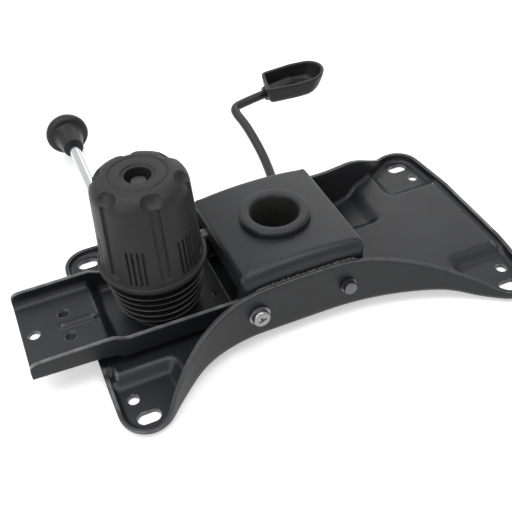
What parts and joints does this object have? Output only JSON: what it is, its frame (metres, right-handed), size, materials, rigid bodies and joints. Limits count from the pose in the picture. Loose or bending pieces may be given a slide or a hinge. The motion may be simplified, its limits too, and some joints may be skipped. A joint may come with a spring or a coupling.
{
  "type": "chair push back mechanism",
  "caption": "Under-seat chair mechanism: seat plate, column socket, sprung push-back arm with tension knob, height lever and lock rod.",
  "frame": {"origin": "centre of the four seat slots, on the face that meets the seat board", "axes": "+X towards the front of the seat, +Y towards the side with both levers, +Z away from the seat board, towards the column"},
  "size_m": [0.2942, 0.2835, 0.1075],
  "materials": {
    "black_coat": "semi-matte powder coat",
    "knob_plastic": "fine textured",
    "boot_rubber": "satin",
    "zinc_plate": "bright zinc",
    "spring_steel": "oiled",
    "rod_chrome": "polished",
    "bush_nylon": "natural nylon"
  },
  "bodies": {
    "base": {"seat_plate": "black_coat", "centre_housing": "black_coat", "housing_welds": "black_coat", "column_socket": "black_coat", "pivot_pin": "zinc_plate", "pivot_rings": "zinc_plate", "stop_screw": "zinc_plate", "stop_washers": "zinc_plate", "stop_nut": "zinc_plate", "tension_bolt": "zinc_plate", "lever_bush": "bush_nylon", "lock_bracket": "black_coat", "lock_bush": "bush_nylon"},
    "arm": {"back_arm": "black_coat", "arm_bushes": "bush_nylon", "back_bar_nuts": "zinc_plate", "spring_foot_cup": "zinc_plate", "tension_spring": "spring_steel", "spring_boot": "boot_rubber"},
    "spring_seat": {"spring_head_cup": "zinc_plate", "thrust_washer": "zinc_plate"},
    "knob": {"tension_knob": "knob_plastic", "knob_nut": "zinc_plate"},
    "height_lever": {"lever_rod": "black_coat", "lever_paddle": "knob_plastic", "lever_rings": "zinc_plate"},
    "lock": {"lock_rod": "rod_chrome", "lock_knob": "knob_plastic", "lock_collar": "zinc_plate"}
  },
  "joints": [
    {"name": "push_back", "type": "hinge", "parent": "base", "child": "arm", "pos_m": [0.01558, 0, 0.025], "axis": [0, 1, 0], "range_deg": [0, 9], "stiffness_Nm_per_rad": 60, "springref_deg": -2.86, "deforming": ["tension_spring", "spring_boot"]},
    {"name": "tension_travel", "type": "slide", "parent": "base", "child": "spring_seat", "axis": [0, 0, 1], "range_m": [-0.001, 0.0045]},
    {"name": "knob_turn", "type": "hinge", "parent": "spring_seat", "child": "knob", "pos_m": [-0.0833, 0, 0.08], "axis": [0, 0, 1], "range_deg": [-241, 1081]},
    {"name": "height_pull", "type": "hinge", "parent": "base", "child": "height_lever", "pos_m": [0.01668, 0.0403, 0.0105], "axis": [-1, 0, 0], "range_deg": [0, 5], "stiffness_Nm_per_rad": 0.6, "springref_deg": -6.88},
    {"name": "lock_push", "type": "slide", "parent": "base", "child": "lock", "axis": [0, 1, 0], "range_m": [-0.005, 0]}
  ],
  "couplings": [
    {"joint": "knob_turn", "follows": "tension_travel", "rad_per_m": 4188.8}
  ]
}
